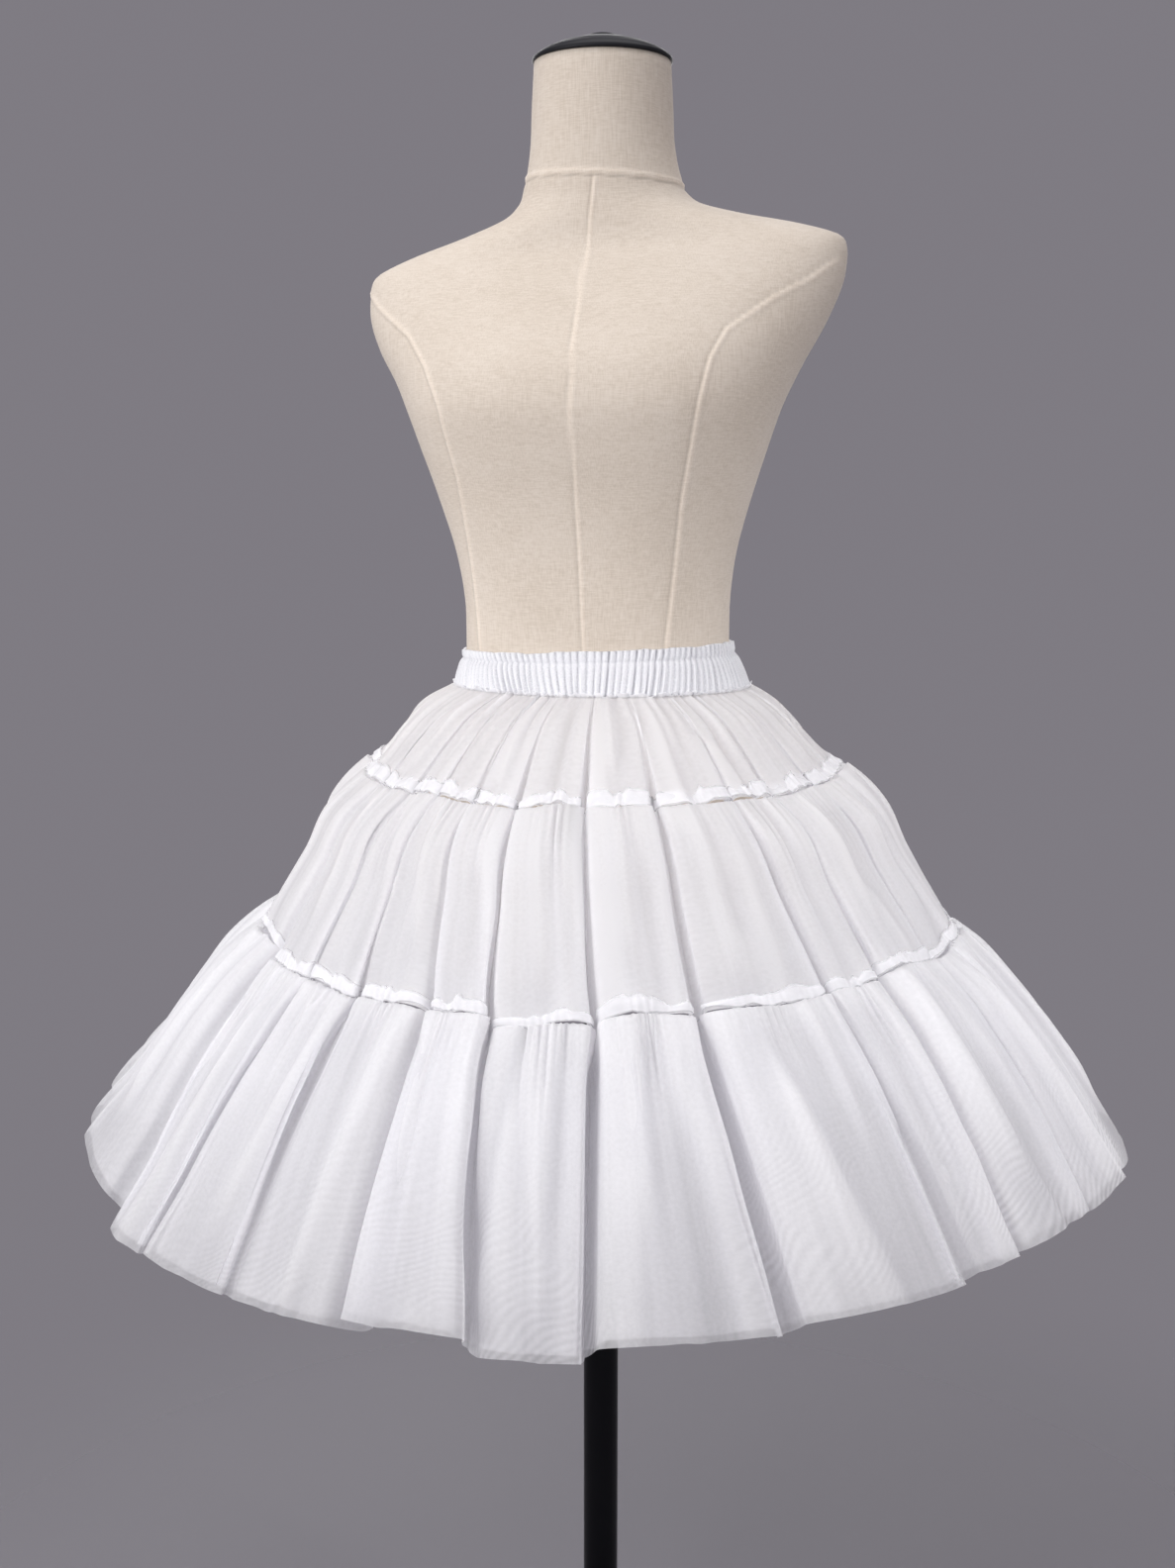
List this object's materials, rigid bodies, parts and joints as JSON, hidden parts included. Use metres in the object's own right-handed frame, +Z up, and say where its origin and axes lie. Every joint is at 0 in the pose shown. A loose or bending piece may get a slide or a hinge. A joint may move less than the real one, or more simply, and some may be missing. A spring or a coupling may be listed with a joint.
{
  "type": "tulle petticoat skirt on a dress form stand",
  "caption": "Full white tulle petticoat: elastic waistband over three gathered tiers that widen to the hem, worn by a linen dress form on a pole with a round base.",
  "frame": {"origin": "centre of the round base's flat underside, where the stand rests on the floor", "axes": "+Z up along the pole, the wearer's front faces -Y, +X is the wearer's left"},
  "size_m": [0.9123, 0.9023, 1.5242],
  "materials": {
    "tulle": "soft white tulle in two plies, slightly see-through",
    "tulle_seam": "bunched white tulle, nearly opaque",
    "waistband_satin": "gathered white satin over elastic",
    "linen": "natural linen, plain weave, matt",
    "black_metal": "satin black paint",
    "black_plastic": "semi-gloss black"
  },
  "bodies": {
    "root": {"stand_base": "black_metal", "stand_pole": "black_metal", "form_torso": "linen", "form_neck_cap": "black_plastic", "form_cap_knob": "black_plastic", "waistband": "waistband_satin", "tier_top_front": "tulle", "tier_top_back": "tulle", "tier_middle_front": "tulle", "tier_middle_back": "tulle", "tier_bottom_front": "tulle", "tier_bottom_back": "tulle", "seam_band_upper": "tulle_seam", "seam_band_lower": "tulle_seam"}
  },
  "joints": []
}
